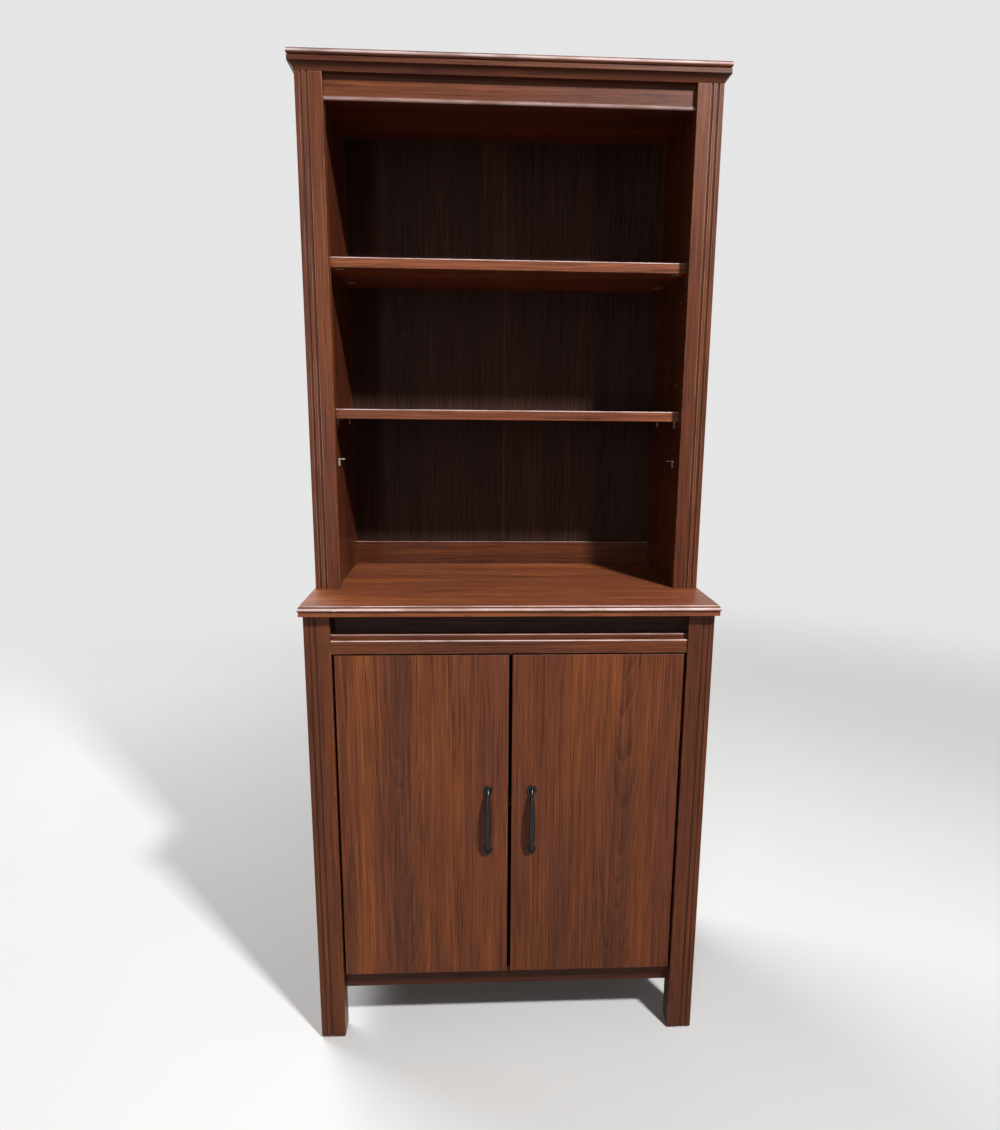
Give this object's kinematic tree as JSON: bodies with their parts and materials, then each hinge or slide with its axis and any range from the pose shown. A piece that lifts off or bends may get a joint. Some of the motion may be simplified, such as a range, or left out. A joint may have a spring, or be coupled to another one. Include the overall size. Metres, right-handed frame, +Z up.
{
  "type": "bookcase with cabinet doors",
  "caption": "Tall open bookcase on a deeper base cabinet: fluted posts, moulded crown and counter, shelves, and hinged doors with black bow handles.",
  "frame": {"origin": "on the floor, under the middle of the cabinet's overall box", "axes": "+Z up, +X to the viewer's right when facing the doors, -Y towards the viewer"},
  "size_m": [0.8, 0.475, 1.9],
  "materials": {
    "wood_upright": "satin red-brown wood, grain upright",
    "wood_cross": "satin red-brown wood, grain from side to side",
    "back_board": "thin hardboard with a brown wood print on its front, bare brown behind",
    "dowel_wood": "bare beech",
    "handle_black": "satin black",
    "hinge_steel": "plated steel",
    "screw_steel": "zinc-plated steel",
    "support_zinc": "pale zinc-plated steel",
    "seam_trim": "light brown matt plastic",
    "stop_plastic": "brown matt plastic",
    "glide_plastic": "dark matt plastic"
  },
  "bodies": {
    "carcass": {"base_back_left_half": "back_board", "base_back_right_half": "back_board", "base_back_seam_strip": "seam_trim", "base_floor_panel": "wood_cross", "base_shelf": "wood_cross", "base_shelf_pins": "support_zinc", "bottom_rail": "wood_cross", "counter_top": "wood_cross", "crown_board": "wood_cross", "door_stop": "stop_plastic", "dowels": "dowel_wood", "floor_glides": "glide_plastic", "frieze_board": "wood_cross", "front_crown_cove": "wood_cross", "hutch_back_left_half": "back_board", "hutch_back_right_half": "back_board", "hutch_back_seam_strip": "seam_trim", "hutch_counter_rail": "wood_cross", "hutch_shelf_pins": "support_zinc", "hutch_top_panel": "wood_cross", "hutch_top_rail": "wood_cross", "left_base_side_panel": "wood_upright", "left_crown_cove": "wood_cross", "left_front_leg": "wood_upright", "left_hinge_arms": "hinge_steel", "left_hinge_plate_screws": "screw_steel", "left_hinge_plates": "hinge_steel", "left_hutch_post": "wood_upright", "left_hutch_rear_stile": "wood_upright", "left_hutch_side_panel": "wood_upright", "left_rear_leg": "wood_upright", "lower_hutch_shelf": "wood_cross", "moulded_rail": "wood_cross", "rear_crown_batten": "wood_cross", "rear_top_rail": "wood_cross", "right_base_side_panel": "wood_upright", "right_crown_cove": "wood_cross", "right_front_leg": "wood_upright", "right_hinge_arms": "hinge_steel", "right_hinge_plate_screws": "screw_steel", "right_hinge_plates": "hinge_steel", "right_hutch_post": "wood_upright", "right_hutch_rear_stile": "wood_upright", "right_hutch_side_panel": "wood_upright", "right_rear_leg": "wood_upright", "shelf_cam_fittings": "support_zinc", "upper_hutch_shelf": "wood_cross"},
    "left_door": {"left_door": "wood_upright", "left_handle": "handle_black", "left_handle_screws": "screw_steel", "left_hinge_cups": "hinge_steel", "left_hinge_cup_screws": "screw_steel", "left_hinge_pins": "hinge_steel"},
    "right_door": {"right_door": "wood_upright", "right_handle": "handle_black", "right_handle_screws": "screw_steel", "right_hinge_cups": "hinge_steel", "right_hinge_cup_screws": "screw_steel", "right_hinge_pins": "hinge_steel"}
  },
  "joints": [
    {"name": "left_door_hinge", "type": "hinge", "parent": "carcass", "child": "left_door", "pos_m": [-0.3215, -0.2015, 0.4845], "axis": [0, 0, -1], "range_deg": [0, 95]},
    {"name": "right_door_hinge", "type": "hinge", "parent": "carcass", "child": "right_door", "pos_m": [0.3215, -0.2015, 0.4845], "axis": [0, 0, 1], "range_deg": [0, 95]}
  ]
}
